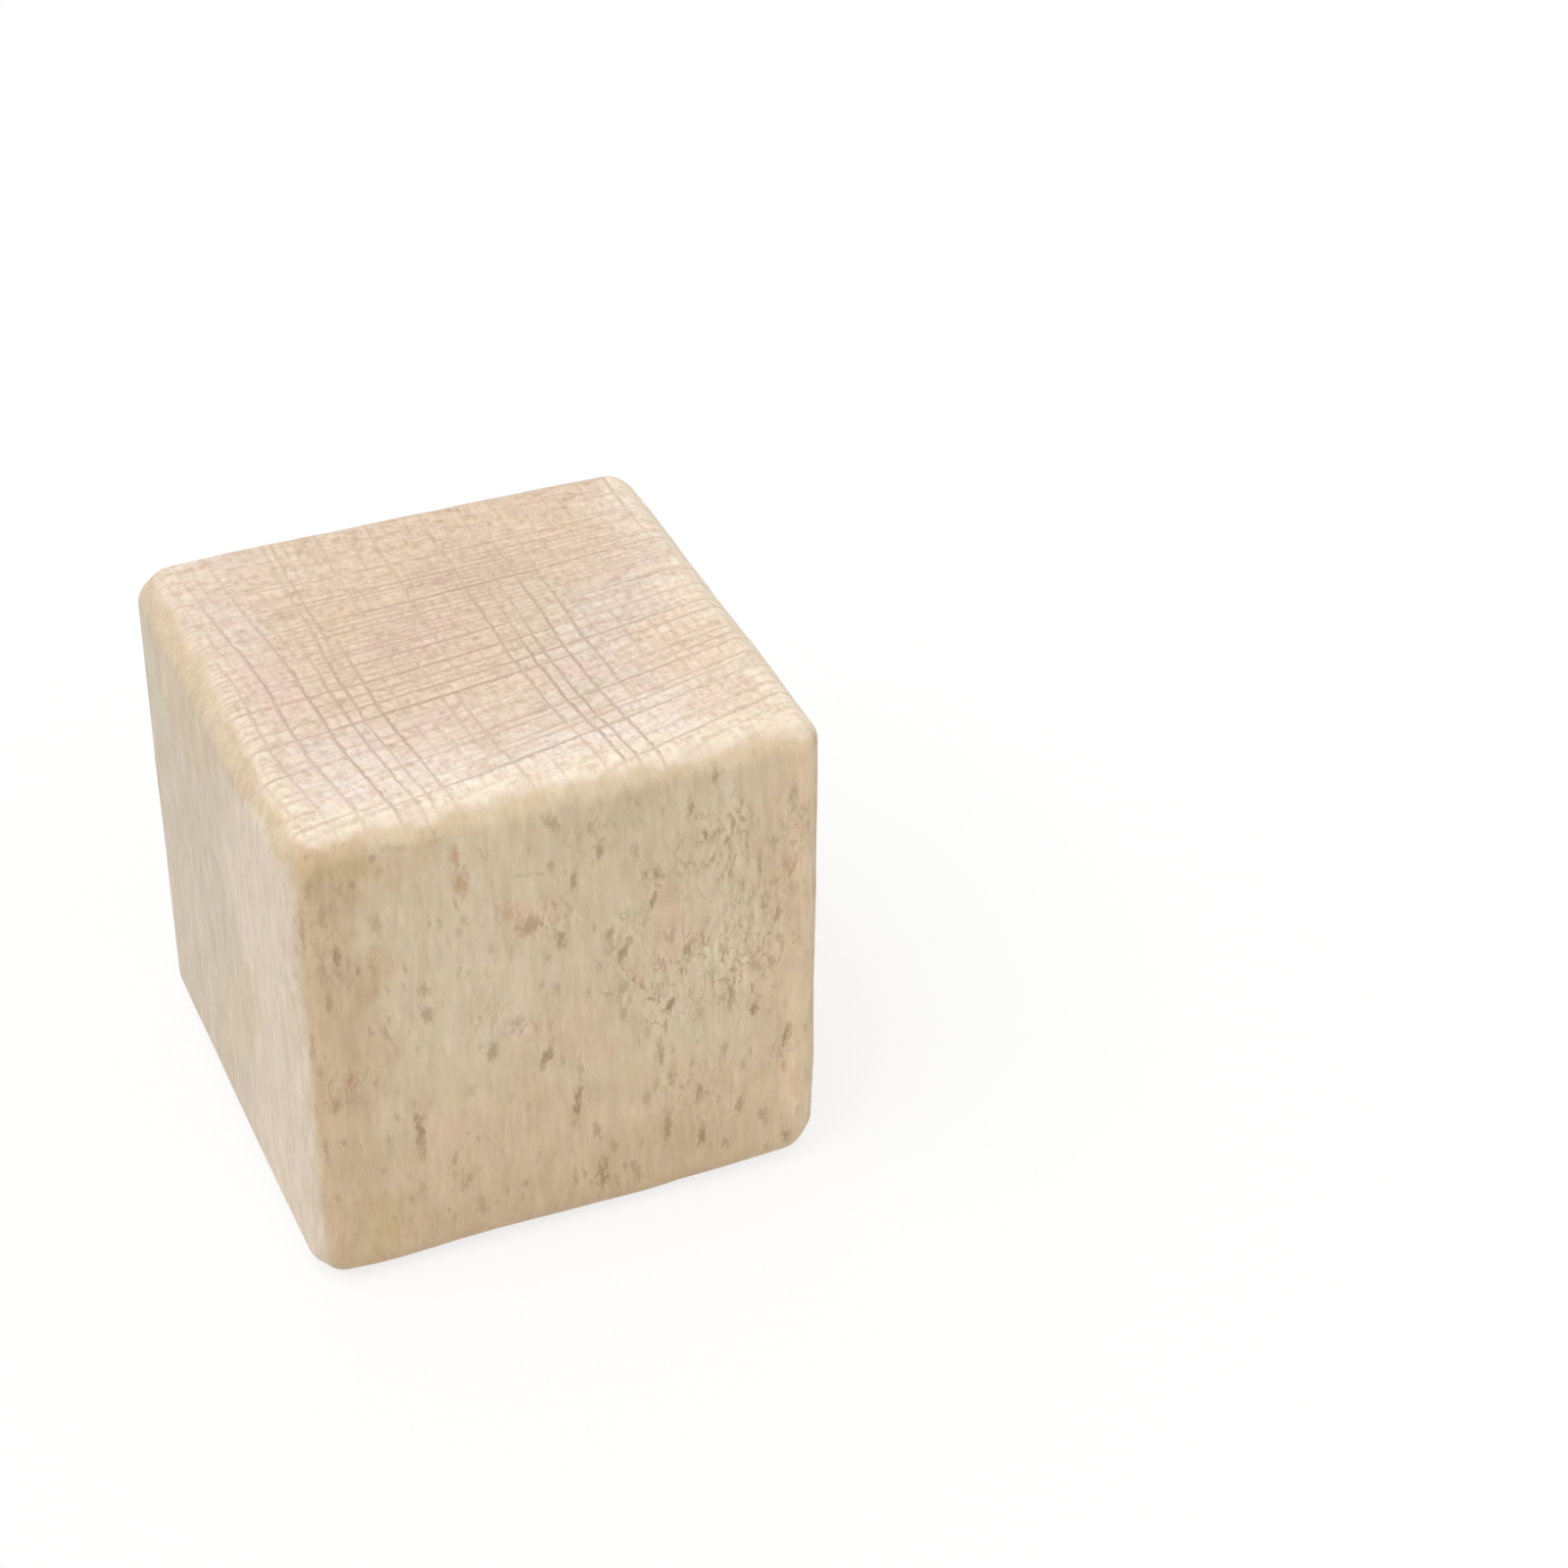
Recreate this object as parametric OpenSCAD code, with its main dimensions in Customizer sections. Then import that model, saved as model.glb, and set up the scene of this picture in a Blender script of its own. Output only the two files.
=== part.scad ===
// A plain wooden cube: one solid block of beech, sawn square, planed, and sanded
// until every edge and corner is softly round.
// It stands on its bottom face, with the origin at the centre of that face.
// +Z is up, along the grain. The front is -Y, and +X is to the right.

/* [Block] */
// Width from left to right, across the growth rings
block_w = 40; // [20:1:80]
// Depth from front to back, along the growth rings
block_d = 40; // [20:1:80]
// Height, along the grain
block_h = 40; // [20:1:80]

/* [Sanding] */
// Radius that the sanding leaves on all the edges and corners
edge_r = 2.5; // [0.5:0.25:6]

/* [Hidden] */
$fn = 96;
// The waste runs this far past the faces, so that each cut comes out clean
overshoot = 1;
beech_colour = [0.85, 0.75, 0.61];

// Repeats its children in the four quarters round the Z axis
module in_four_quarters() {
    for (left = [0, 1], front = [0, 1])
        mirror([left, 0, 0])
            mirror([0, front, 0])
                children();
}

// What sanding takes off one edge: a square bar, less the round edge that stays
module edge_waste(edge_length) {
    bar_length = edge_length + 2 * overshoot;
    difference() {
        translate([0, 0, -bar_length / 2])
            cube([edge_r + overshoot, edge_r + overshoot, bar_length]);
        cylinder(h = bar_length + 2 * overshoot, r = edge_r, center = true);
    }
}

// The waste of four parallel edges, round a section of the block that lies in X and Y
module four_edges_waste(section_x, section_y, edge_length) {
    in_four_quarters()
        translate([section_x / 2 - edge_r, section_y / 2 - edge_r, 0])
            edge_waste(edge_length);
}

// What sanding takes off one corner: a small cube, less the ball that stays
module corner_waste() {
    difference() {
        cube(edge_r + overshoot);
        sphere(r = edge_r);
    }
}

// The waste of all eight corners
module eight_corners_waste() {
    for (lower = [0, 1])
        mirror([0, 0, lower])
            in_four_quarters()
                translate([block_w / 2 - edge_r, block_d / 2 - edge_r, block_h / 2 - edge_r])
                    corner_waste();
}

// The finished block
module cube_block() {
    color(beech_colour)
        translate([0, 0, block_h / 2])
            difference() {
                cube([block_w, block_d, block_h], center = true);
                // upright edges
                four_edges_waste(block_w, block_d, block_h);
                // edges from left to right
                rotate([90, 0, 90])
                    four_edges_waste(block_d, block_h, block_w);
                // edges from front to back
                rotate([-90, -90, 0])
                    four_edges_waste(block_h, block_w, block_d);
                eight_corners_waste();
            }
}

cube_block();
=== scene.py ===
# %% [markdown]
# # A plain beech cube
#
# The object is one solid block of beech, sawn square, planed, and sanded by hand until its edges
# and corners are softly round. Nothing is joined to it and nothing moves, so there is one piece to
# make. All the work goes into two things: an edge that looks sanded and not machined, and wood that
# is cut from one log, so that the rings on top, the flecks in front and the streaks at the side
# belong together.
#
# The block comes in as a fixed frame at its real size. Blender adds the looks and changes no size.

# %% Load the block
import math
import random

import bmesh
import bpy
from mathutils import Euler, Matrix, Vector, noise


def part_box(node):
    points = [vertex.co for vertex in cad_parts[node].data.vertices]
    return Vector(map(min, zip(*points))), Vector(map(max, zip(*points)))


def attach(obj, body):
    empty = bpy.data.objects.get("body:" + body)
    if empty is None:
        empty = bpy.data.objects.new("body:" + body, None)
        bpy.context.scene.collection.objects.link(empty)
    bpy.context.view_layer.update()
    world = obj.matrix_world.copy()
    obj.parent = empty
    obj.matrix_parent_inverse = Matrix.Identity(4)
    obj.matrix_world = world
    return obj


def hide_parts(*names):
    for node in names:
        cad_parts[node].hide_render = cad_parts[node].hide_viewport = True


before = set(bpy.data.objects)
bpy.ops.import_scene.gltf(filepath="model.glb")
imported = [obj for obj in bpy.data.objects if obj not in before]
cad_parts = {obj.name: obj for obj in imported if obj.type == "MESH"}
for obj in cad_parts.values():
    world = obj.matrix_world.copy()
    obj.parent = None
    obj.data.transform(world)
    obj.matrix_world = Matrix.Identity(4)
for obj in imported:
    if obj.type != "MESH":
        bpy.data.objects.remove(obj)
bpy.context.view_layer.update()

MM = 0.001
low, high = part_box("cube_block")
centre = (Vector(low) + Vector(high)) / 2
half = (Vector(high) - Vector(low)) / 2
print("block in mm:", [round(2 * side / MM, 2) for side in half])

# %% [markdown]
# ## The camera
#
# The cube is seen from above and a little from its left, so that three faces show: the end grain on
# top, the flecked front, and a narrow slice of the left side. A long lens from far away would flatten
# it. Here a lens of about 80 mm stands a good quarter of a metre away, and the upright edges lean
# together towards the bottom. The camera looks at a point beside the cube, so that the cube stands
# left of the middle of the view. A Track To constraint could aim it, but a turn worked out once
# leaves nothing to follow, and the small tilt of the camera is then one more turn after it.

# %% Camera
camera_azimuth = math.radians(-17.46)
camera_elevation = math.radians(36.4)
camera_distance = 272.5 * MM
camera_tilt = math.radians(0.5)
lens_length = 82.2
aim = Vector((22.58, -6.03, 24.91)) * MM

towards_camera = Vector((
    math.sin(camera_azimuth) * math.cos(camera_elevation),
    -math.cos(camera_azimuth) * math.cos(camera_elevation),
    math.sin(camera_elevation),
))
camera_place = centre + towards_camera * camera_distance
camera_lens = bpy.data.cameras.new("camera")
camera_lens.lens = lens_length
camera_lens.clip_start = 10 * MM
camera_lens.clip_end = 10.0
camera = bpy.data.objects.new("camera", camera_lens)
camera.location = camera_place
camera.rotation_mode = "QUATERNION"
gaze = (aim - camera_place).to_track_quat("-Z", "Y")
camera.rotation_quaternion = gaze @ Euler((0, 0, camera_tilt)).to_quaternion()
bpy.context.scene.collection.objects.link(camera)
bpy.context.scene.camera = camera
bpy.context.scene.view_settings.view_transform = "Standard"
print("camera in mm:", [round(part / MM, 1) for part in camera_place])

# %% [markdown]
# ## A short way to write shaders
#
# A shader is a sum on paper: this mask times that colour, plus a little noise. Clicking the nodes
# together hides the sum, so one small class lets Python write it. A `Wire` is one socket. When it
# meets `+`, `-`, `*`, `/` or `**` it adds the Math node that does the same. Every other node is made
# by `Shader.add`, which sets the node's settings first and then fills or links its sockets.

# %% Wires
class Wire:
    """One number, colour or vector on its way through a shader."""

    def __init__(self, shader, socket):
        self.shader = shader
        self.socket = socket

    def sum(self, operation, first, second=0.0):
        return self.shader.add("ShaderNodeMath", {"operation": operation}, {0: first, 1: second})

    def __add__(self, other):
        return self.sum("ADD", self, other)

    def __radd__(self, other):
        return self.sum("ADD", other, self)

    def __sub__(self, other):
        return self.sum("SUBTRACT", self, other)

    def __rsub__(self, other):
        return self.sum("SUBTRACT", other, self)

    def __mul__(self, other):
        return self.sum("MULTIPLY", self, other)

    def __rmul__(self, other):
        return self.sum("MULTIPLY", other, self)

    def __truediv__(self, other):
        return self.sum("DIVIDE", self, other)

    def __rtruediv__(self, other):
        return self.sum("DIVIDE", other, self)

    def __pow__(self, other):
        return self.sum("POWER", self, other)

    def __rpow__(self, other):
        return self.sum("POWER", other, self)

    def __abs__(self):
        return self.sum("ABSOLUTE", self)

    def at_least(self, other):
        """The larger of two numbers: what to use to lay one mask over another."""
        return self.sum("MAXIMUM", self, other)

    def other(self, name):
        """Another output of the same node."""
        return Wire(self.shader, self.socket.node.outputs[name])


print("a wire knows:", [name for name in vars(Wire) if not name.startswith("__")])

# %% Shaders
class Shader:
    """The nodes of one material or world."""

    def __init__(self, owner):
        owner.use_nodes = True
        self.tree = owner.node_tree
        self.tree.nodes.clear()

    def add(self, kind, settings=None, sockets=None, output=0):
        """A new node of any kind, and a wire from one of its outputs."""
        node = self.tree.nodes.new(kind)
        for name, value in (settings or {}).items():
            if name == "stops":
                fill_ramp(node.color_ramp, value)
            else:
                setattr(node, name, value)
        for key, value in (sockets or {}).items():
            if isinstance(value, Wire):
                self.tree.links.new(value.socket, node.inputs[key])
            else:
                node.inputs[key].default_value = value
        return Wire(self, node.outputs[output]) if node.outputs else node


def fill_ramp(ramp, stops):
    """Gives a colour ramp its stops, each (position, grey)."""
    while len(ramp.elements) < len(stops):
        ramp.elements.new(1.0)
    for element, (position, grey) in zip(ramp.elements, stops):
        element.position = position
        element.color = (grey, grey, grey, 1.0)


def paint(red, green, blue):
    """A colour as it is read off a screen, 0 to 255, in the linear light that shaders use."""
    shares = [part / 255 for part in (red, green, blue)]
    linear = [s / 12.92 if s <= 0.04045 else ((s + 0.055) / 1.055) ** 2.4 for s in shares]
    return (*linear, 1.0)


print("beech, linear:", [round(part, 3) for part in paint(226, 206, 180)])

# %% [markdown]
# ## Light and floor
#
# The cube stands in soft, even light, as in a small white tent: a bright sky of white cloth all
# round, and one broad lamp above its left shoulder, which makes the top the lightest face, the left
# side the next and the front the darkest. An Area lamp could do it, but its light falls off with
# distance and its size would have to follow the block's. A Sun lamp with a wide angle is as soft,
# and it needs no size.

# %% Light
white = (1.0, 1.0, 1.0, 1.0)
sky_strength = 0.60
lamp_strength = 1.48
lamp_width = math.radians(50)
lamp_direction = Vector((-0.36, -0.16, 0.92)).normalized()


def seen_directly(shader):
    """1 for rays from the camera, a mirror or through glass, and 0 for the rays that light things."""
    path = "ShaderNodeLightPath"
    camera_ray = shader.add(path, output="Is Camera Ray")
    glossy_ray = shader.add(path, output="Is Glossy Ray")
    glass_ray = shader.add(path, output="Is Transmission Ray")
    return camera_ray.at_least(glossy_ray).at_least(glass_ray)


world = bpy.data.worlds.new("white_tent")
bpy.context.scene.world = world
sky = Shader(world)
strength = sky_strength + seen_directly(sky) * (1 - sky_strength)
background = sky.add("ShaderNodeBackground", {}, {"Color": white, "Strength": strength})
sky.add("ShaderNodeOutputWorld", {}, {"Surface": background})

lamp_light = bpy.data.lights.new("broad_lamp", "SUN")
lamp_light.energy = lamp_strength
lamp_light.angle = lamp_width
lamp = bpy.data.objects.new("broad_lamp", lamp_light)
lamp.rotation_mode = "QUATERNION"
lamp.rotation_quaternion = (-lamp_direction).to_track_quat("-Z", "Y")
bpy.context.scene.collection.objects.link(lamp)
print("lamp comes from:", [round(part, 2) for part in lamp_direction])

# %% [markdown]
# The floor is white to the eye. White paint alone would need so much light that the wood would
# bleach, so most of the floor's white is a glow. Only the camera sees it, through Light Path, so no
# extra light reaches the wood. A share of the floor stays plain matt paint, and that share keeps the
# cube's soft shadow.

# %% Floor
floor_half = 1.6
glow_share = 0.72
glow_strength = 1.07
matt_white = (0.80, 0.80, 0.80, 1.0)

floor_mesh = bpy.data.meshes.new("floor")
floor_signs = ((-1, -1), (1, -1), (1, 1), (-1, 1))
floor_corners = [(x * floor_half, y * floor_half, low[2]) for x, y in floor_signs]
floor_mesh.from_pydata(floor_corners, [], [(0, 1, 2, 3)])
floor = bpy.data.objects.new("floor", floor_mesh)
bpy.context.scene.collection.objects.link(floor)

floor_material = bpy.data.materials.new("white_floor")
floor_shader = Shader(floor_material)
matt = floor_shader.add("ShaderNodeBsdfDiffuse", {}, {"Color": matt_white})
glow = floor_shader.add("ShaderNodeEmission", {}, {"Color": white, "Strength": glow_strength})
glow_seen = seen_directly(floor_shader) * glow_share
floor_mix = floor_shader.add("ShaderNodeMixShader", {}, {0: glow_seen, 1: matt, 2: glow})
floor_shader.add("ShaderNodeOutputMaterial", {}, {"Surface": floor_mix})
floor_mesh.materials.append(floor_material)
print("floor half side in m:", floor_half)

# %% [markdown]
# ## The block's form
#
# A Bevel modifier gives a perfect quarter circle along a perfect line, and that is what gives a
# computer's cube away. Sandpaper in a hand rounds more here and less there, and leaves a small flat
# where it rested. So the block is built as a net of points on the six faces of a box, fine across
# the edges and coarser over the flats, and each point is then moved to where the paper left the
# wood.

# %% Net over the box
edge_radius = 2.5 * MM
steps_round = 9
steps_flat = 80


def places_along(side):
    """Places of the net from -side to side, closer together where the edges turn."""
    flat = side - edge_radius
    angles = [math.radians(45 * (step + 1) / steps_round) for step in range(steps_round)]
    turn = [edge_radius * math.tan(angle) for angle in angles]
    middle = [-flat + 2 * flat * step / steps_flat for step in range(steps_flat + 1)]
    return [-flat - part for part in reversed(turn)] + middle + [flat + part for part in turn]


net = [places_along(side) for side in half]
last = len(net[0]) - 1
print("net:", last, "steps a side,", 12 * last * last, "triangles")

# %% [markdown]
# ### Sanding
#
# Each point is pushed out from an inner core by the radius of the edge, and everything that the
# paper does is a slow random number over the block. The radius drifts along each edge. Narrow flats
# are rubbed on the edges, with small dents on them, and the six faces are hollow by a few hundredths
# of a mm, as planed wood is. Three corners got more paper than the rest. All of this stays inside
# the sawn box, so the block keeps its size.
#
# How far the surface has turned away from a face says where the flats, the dents and the hollows
# belong: 0 is flat on a face, and 0.29 is the middle of an edge.

# %% Sanding
drift_length = 9 * MM
drift_share = 0.16
rest_length = 0.6 * drift_length
rest_share = 0.07
rest_turn = 0.29
dent_length = 2.2 * MM
dent_depth = 0.07 * MM
dent_turn = 0.1
hollow_length = 14 * MM
hollow_depth = 0.03 * MM
hollow_turn = 0.05
corner_reach = 9 * MM
# left or right, front or back, bottom or top: how much rounder
corner_wear = {(-1, 1, 1): 0.17, (-1, -1, -1): 0.16, (1, -1, -1): 0.24}
seed_steps = (1.0, 1.7, 2.3)


def drift(point, length, seed):
    """A smooth random number from about -1 to 1, which changes over the length given."""
    return noise.noise(point / length + Vector([seed * step for step in seed_steps]))


def share_at(point, length, seed):
    """The same as a share, from about 0 to 1."""
    return 0.5 + 0.5 * drift(point, length, seed)


def worn_at(point):
    """How much rounder than the rest the block is here, near the corners that got more paper."""
    wear = 0.0
    for signs, share in corner_wear.items():
        corner = Vector([sign * side for sign, side in zip(signs, half)])
        wear += share * max(0.0, 1 - (point - corner).length / corner_reach)
    return wear


def radius_at(point):
    """The radius to which the edge near a point was sanded."""
    drifted = 1 + drift_share * drift(point, drift_length, seed=3.1) - drift_share / 3
    return edge_radius * (drifted + worn_at(point))


def sand(point):
    """The sanded surface for a point of the box: its place, and the way it faces."""
    radius = radius_at(point)
    core = Vector([max(-side + radius, min(side - radius, part)) for part, side in zip(point, half)])
    direction = (point - core).normalized()
    turned = 1 - max(abs(part) for part in direction)
    rest = radius * rest_share * share_at(point, rest_length, seed=8.4) * min(1, turned / rest_turn)
    dent = dent_depth * share_at(point, dent_length, seed=6.7) * min(1, turned / dent_turn)
    lost = rest + dent
    hollow = hollow_depth * max(0.0, 1 - turned / hollow_turn) * share_at(point, hollow_length, seed=5.5)
    return core + direction * (radius - lost - hollow), direction


print("radius in mm, at three places:",
      [round(radius_at(Vector((x * MM, 0, 0))) / MM, 2) for x in (-15, 0, 15)])

# %% [markdown]
# ### From the net to a mesh
#
# Subdividing a cube in Edit Mode gives equal steps only. Here the steps are chosen, so bmesh builds
# the six sides cell by cell. A point on an edge belongs to two sides and is made once, which keeps
# the mesh closed. Smooth shading then hides the steps. The way each point faces is kept as well,
# because the wood has to know later on which side of the block it is.

# %% Mesh of the block
shape = bmesh.new()
corner_of = {}
facing = []


def vertex_at(index):
    """The vertex of the net at three whole numbers, made the first time it is asked for."""
    if index not in corner_of:
        on_box = Vector([net[axis][index[axis]] for axis in range(3)])
        place, direction = sand(on_box)
        corner_of[index] = shape.verts.new(centre + place)
        facing.append(direction)
    return corner_of[index]


for axis in range(3):
    across, along = (axis + 1) % 3, (axis + 2) % 3
    for end in (0, last):
        for i in range(last):
            for j in range(last):
                square = []
                for di, dj in ((0, 0), (1, 0), (1, 1), (0, 1)):
                    index = [0, 0, 0]
                    index[axis] = end
                    index[across] = i + di
                    index[along] = j + dj
                    square.append(vertex_at(tuple(index)))
                shape.faces.new(square if end else reversed(square))

for face in shape.faces:
    face.smooth = True
block_mesh = bpy.data.meshes.new("beech_cube")
shape.to_mesh(block_mesh)
shape.free()
block = bpy.data.objects.new("beech_cube", block_mesh)
bpy.context.scene.collection.objects.link(block)
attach(block, "root")
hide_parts("cube_block")
print("block:", len(block_mesh.vertices), "vertices,", len(block_mesh.polygons), "faces")

# %% [markdown]
# ## Beech, cut from a log
#
# Paint on six sides would look like wallpaper. Real wood is a solid with a pattern inside, and a saw
# only uncovers it. Three things run through this block. Growth rings are nearly flat sheets across
# it, since the heart of the tree is far away. Rays are thin ribbons that run out from that heart,
# from left to right. Fibres stand upright. So the top shows rings and rays as two sets of fine lines
# that cross, the front shows the rays from the side, as flecks, and the left shows their ends.
#
# The slow bends are worked out here for each point of the net, in Python, where a sum is easy to
# read and costs nothing while rendering. The shader then only draws the thin lines. Everything is in
# mm from the block's own origin, so the pattern has its real size.

# %% Where a point lies in the log
heart_x = 135.0
heart_y = 14.0
ring_curve = 0.0043
ring_lean = 0.10
lean_from = 10
lean_to = 13
ray_curve = 0.0015
upright_stretch = 6


def rise(value, start, end):
    """0 up to start, 1 from end on, and smooth between them."""
    share = max(0.0, min(1.0, (value - start) / (end - start)))
    return share * share * (3 - 2 * share)


def sway(place, size, reach, seed=(0, 0, 0)):
    """A smooth random number up to the reach given, in bumps of the size given in mm."""
    return reach * noise.noise(place / size + Vector(seed))


def place_in_log(x, y, z):
    """The ring and the ray through a point, named by where they cross the middle lines, in mm."""
    ring = x - ring_curve * min(y, 0) ** 2 + ring_lean * max(y, 0) * rise(-x, lean_from, lean_to)
    ray = heart_y + (y - ray_curve * x * x - heart_y) * heart_x / (heart_x - x)
    place = Vector((x, y, z / upright_stretch))
    ring += sway(place, 1.9, 0.10) + sway(place, 7, 0.22, seed=(9, 0, 0))
    ray += sway(place, 1.7, 0.09, seed=(0, 5, 0)) + sway(place, 6, 0.12)
    return ring, ray


print("ring and ray at the front right corner:", [round(v, 1) for v in place_in_log(20, -20, 40)])

# %% [markdown]
# ### The lines of the end grain
#
# Noise can scatter lines, but the eye knows a log by its uneven rhythm: a few strong rings close
# together, then a gap. So rings and rays are written down one by one. Each has its place, and five
# digits that say how dark it is along its way, from 0, gone, to 9, darkest. Rings are read from the
# back of the block to the front, and rays from left to right.

# %% Rings and rays, listed
ring_lines = [
    (-19.2, "00064"), (-17.3, "23553"), (-16.5, "34200"), (-15.3, "36765"), (-14.3, "12121"),
    (-12.95, "35788"), (-12.0, "13221"), (-11.2, "22676"), (-10.15, "34765"), (-9.5, "46200"),
    (-8.75, "11686"), (-7.3, "22232"), (-6.0, "33222"), (-5.1, "12111"), (-4.3, "12341"),
    (-3.2, "12145"), (-2.0, "35311"), (-0.8, "12213"), (0.4, "02311"), (2.15, "25765"),
    (3.6, "13698"), (4.6, "14688"), (5.35, "31000"), (6.2, "15878"), (7.95, "25752"),
    (9.0, "02321"), (9.8, "12231"), (10.9, "12421"), (11.9, "12221"), (13.0, "22332"),
    (14.1, "11231"), (15.2, "12222"), (16.1, "12221"), (17.4, "52210"), (18.3, "13322"),
]
ray_lines = [
    (16.2, "22111"), (15.0, "22222"), (13.9, "12211"), (12.6, "11133"), (11.95, "34543"),
    (10.7, "12353"), (10.05, "12343"), (9.4, "35642"), (8.8, "25542"), (8.3, "14421"),
    (7.85, "00356"), (7.2, "02331"), (6.6, "26886"), (6.0, "14322"), (5.4, "15432"), (4.7, "26532"),
    (4.15, "13322"), (3.5, "12455"), (3.05, "25321"), (2.4, "24421"), (1.85, "15531"),
    (1.4, "01346"), (0.6, "36742"), (0.0, "34321"), (-0.9, "24322"), (-1.7, "57845"),
    (-2.95, "26632"), (-3.7, "14311"), (-4.35, "47786"), (-5.8, "59856"), (-7.1, "13322"),
    (-8.2, "25322"), (-9.1, "54235"), (-10.1, "12226"), (-11.1, "23585"), (-11.8, "25510"),
    (-13.3, "12456"), (-14.0, "12664"), (-14.75, "51100"), (-15.45, "36985"), (-16.9, "12222"),
    (-18.2, "01244"), (-20.0, "00376"), (-21.6, "00123"), (-23.2, "00012"),
]
ring_span = (14, -17)
ray_span = (-16, 16)


def darkness_of(lines, span, place, along):
    """How dark the nearest line is, 0 to 1, where a point lies along it."""
    digits = min(lines, key=lambda line: abs(line[0] - place))[1]
    step = (along - span[0]) / (span[1] - span[0]) * (len(digits) - 1)
    step = max(0.0, min(len(digits) - 1.001, step))
    before = int(step)
    first, second = int(digits[before]), int(digits[before + 1])
    return (first + (second - first) * (step - before)) / 9


print("rings:", len(ring_lines), "rays:", len(ray_lines))

# %% [markdown]
# ### Slow changes of tone
#
# Wood is never one colour from side to side. The slow changes, such as a tan heart on the end grain
# or a browner strip beside an edge, could be blurred noise, but noise puts them anywhere. They are
# wider than the steps of the net, so they are painted on its points. Each patch is an oval with a
# soft rim, upright or leaning, and has one of the colours that beech takes, or a painted light where
# light falls on a side. The patches of a side are laid over each other in the order of its list.

# %% The colours of beech
cream = paint(241, 223, 207)
pale = paint(235, 216, 200)
straw = paint(234, 211, 186)
oat = paint(228, 209, 191)
tan = paint(227, 203, 178)
brown = paint(221, 196, 172)
olive = paint(224, 206, 181)
peach = paint(236, 216, 194)
ivory = paint(239, 220, 200)
rosy = paint(232, 204, 187)

fair = paint(226, 207, 176)
warm = paint(221, 197, 164)
dim = paint(216, 196, 164)
blush = paint(227, 199, 170)
bark = paint(214, 188, 154)
amber = paint(212, 187, 144)
# a pale colour laid as painted light on the rounded right edge of the front
painted_edge_light = paint(238, 210, 176)

# The two greys of the left side are painted light: a cool cast from the white tent, and a paler painted
# sheen.
grey = paint(214, 199, 177)
painted_sheen_grey = paint(228, 211, 189)
moss = paint(213, 203, 179)
hay = paint(218, 201, 171)
wheat = paint(216, 195, 165)
print("cream, linear:", [round(part, 3) for part in cream])

# %% [markdown]
# The end grain is tan in the middle and creamy towards its edges. The front is browner at its foot
# and down its left edge, with rosy spots between the flecks. The left side is painted greyest, as a
# painted cool cast of the light from the white cloth, with a paler painted sheen towards its front.
# The back and the right side get a few broad patches of the same colours.

# %% Patches on the end grain
end_wood = paint(230, 210, 190)

# middle (x, ray), reach to both sides, lean in degrees, share, colour
end_patches = [
    ((0, -23), (60, 10), 0, 1.0, cream), ((19, -16), (8, 8), 0, 0.9, peach),
    ((19, -3), (4, 10), 0, 0.9, ivory), ((17.5, 16), (3.5, 5), 0, 0.8, pale),
    ((16, 7), (3, 4), 0, 0.8, oat), ((8.5, -4), (4.5, 10), 30, 0.9, oat),
    ((-11, -9.5), (9, 3.5), -12, 0.9, pale), ((-11, -14.5), (9, 4), 0, 0.9, cream),
    ((-4, 4), (10.5, 14), 0, 1.0, tan), ((6.5, 11), (9.5, 10), 0, 1.0, tan),
    ((3.5, 9), (5, 5), 0, 0.8, brown), ((-3.5, 2), (3.5, 3.5), 20, 0.8, rosy),
    ((-3.5, 2), (4, 4), 20, 0.6, brown), ((6.5, 1.5), (1.8, 5.5), 28, 0.8, olive),
    ((3.2, -3.5), (1.5, 3), 20, 0.7, olive), ((-15, 0), (2, 4), 0, 0.8, rosy),
    ((-15, 8), (2.2, 5), 0, 0.7, oat), ((-6, -8), (2.5, 1.2), 0, 0.8, rosy),
    ((6, -6.5), (1.2, 1.8), 20, 0.8, rosy), ((18, -8), (4, 4), 0, 0.8, straw),
    ((18.5, -15), (5, 8), 0, 0.55, straw), ((4, 17.5), (15, 3.6), 0, 0.7, brown),
    ((13.5, -9), (3, 4.5), 0, 0.7, straw), ((19, 8), (2.4, 6), 0, 0.8, ivory),
]
print("patches on the end grain:", len(end_patches))

# %% Patches on the sides
side_wood = paint(223, 203, 171)

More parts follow.
